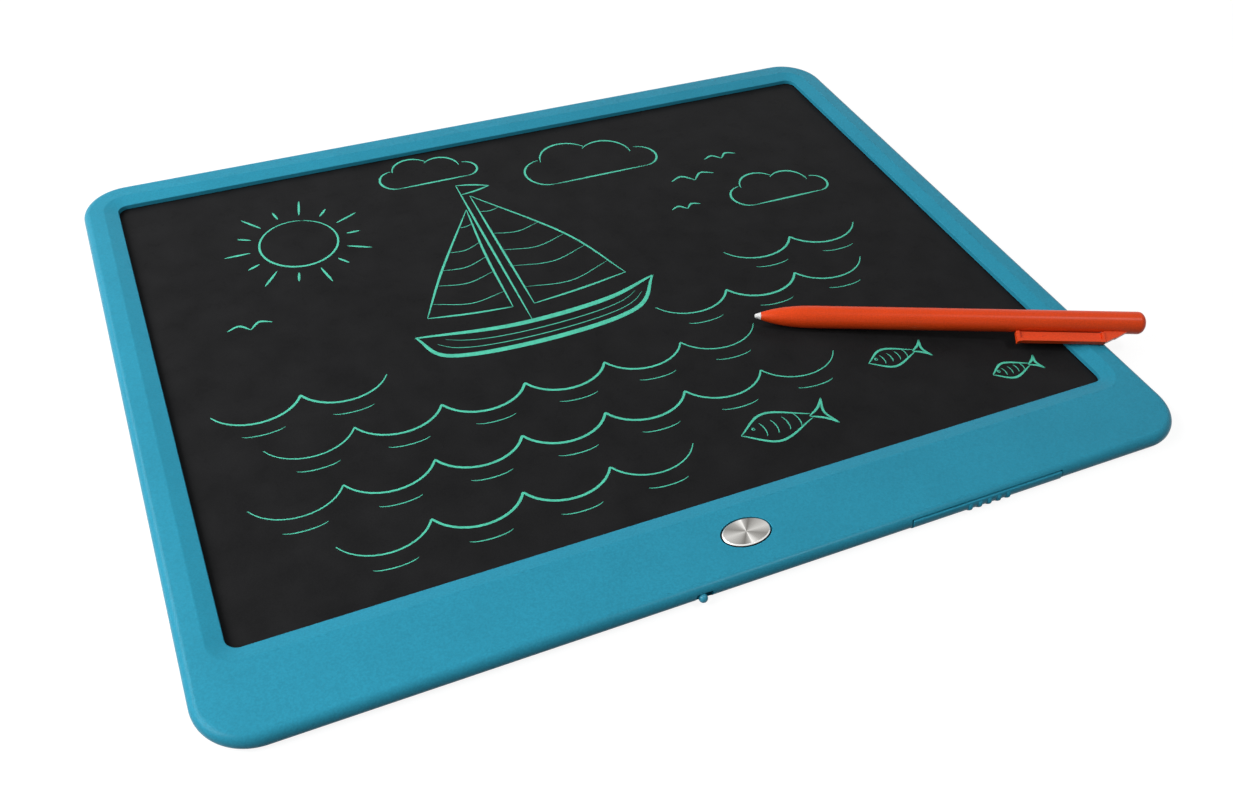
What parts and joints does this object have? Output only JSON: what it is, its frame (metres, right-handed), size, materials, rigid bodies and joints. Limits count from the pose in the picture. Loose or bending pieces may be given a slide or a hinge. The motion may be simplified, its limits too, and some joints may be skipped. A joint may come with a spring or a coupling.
{
  "type": "lcd drawing tablet",
  "caption": "Flat LCD drawing tablet: framed dark writing film, oval metal erase button, lock slider, ribbed battery door, and a loose clip stylus lying across it.",
  "frame": {"origin": "centre of the housing's outline, on its flat back face", "axes": "+X along the tablet's width to the user's right, +Y to its back edge, +Z out of the writing film"},
  "size_m": [0.3484, 0.2717, 0.0157],
  "materials": {
    "housing": "fine matte texture",
    "housing_small": "smooth satin",
    "film": "satin sheet",
    "tape": "matte",
    "backing": "matte",
    "foam": "open-cell matte",
    "board": "solder resist",
    "package": "matte",
    "capacitor": "matte",
    "dark": "matte",
    "cap": "spun brushed face with a bright bevel",
    "plated": "satin plated",
    "contact": "bright plated spring strip",
    "lead_red": "soft sheath",
    "lead_black": "soft sheath",
    "flex": "amber flexible circuit",
    "screw": "plated",
    "stylus": "satin moulded",
    "tip": "matte"
  },
  "bodies": {
    "housing": {"front_bezel": "housing", "back_cover": "housing", "lcd_film": "film", "film_tape": "tape", "backing_board": "backing", "foam_pad": "foam", "circuit_board": "board", "driver_chip": "package", "capacitor_1": "capacitor", "capacitor_2": "capacitor", "capacitor_3": "capacitor", "tact_switch": "plated", "slide_switch": "plated", "coin_cell": "plated", "contact_minus": "contact", "contact_plus": "contact", "lead_red": "lead_red", "lead_black": "lead_black", "film_tail": "flex", "housing_screw_1": "screw", "housing_screw_2": "screw", "housing_screw_3": "screw", "housing_screw_4": "screw", "housing_screw_5": "screw", "housing_screw_6": "screw", "housing_screw_7": "screw", "housing_screw_8": "screw"},
    "erase_button": {"erase_button": "dark", "button_cap": "cap"},
    "switch_plunger": {"tact_plunger": "dark"},
    "lock_slider": {"lock_slider": "housing_small"},
    "battery_door": {"battery_door": "housing", "door_screw": "screw"},
    "stylus": {"stylus_barrel": "stylus", "stylus_tip": "tip"}
  },
  "joints": [
    {"name": "button_press", "type": "slide", "parent": "housing", "child": "erase_button", "axis": [0, 0, -1], "range_m": [0, 0.0003], "stiffness_N_per_m": 1500, "springref_m": -0.0002},
    {"name": "plunger_press", "type": "slide", "parent": "housing", "child": "switch_plunger", "axis": [0, 0, -1], "range_m": [0, 0.0003]},
    {"name": "lock_slide", "type": "slide", "parent": "housing", "child": "lock_slider", "axis": [1, 0, 0], "range_m": [0, 0.0015]},
    {"name": "door_hinge", "type": "hinge", "parent": "housing", "child": "battery_door", "pos_m": [0.0808, -0.1104, 0.0006], "axis": [1, 0, 0], "range_deg": [0, 35]},
    {"name": "stylus_lift", "type": "slide", "parent": "housing", "child": "stylus", "axis": [0, 0, 1], "range_m": [0, 0.1]}
  ],
  "couplings": [
    {"joint": "plunger_press", "follows": "button_press", "ratio": 1}
  ]
}
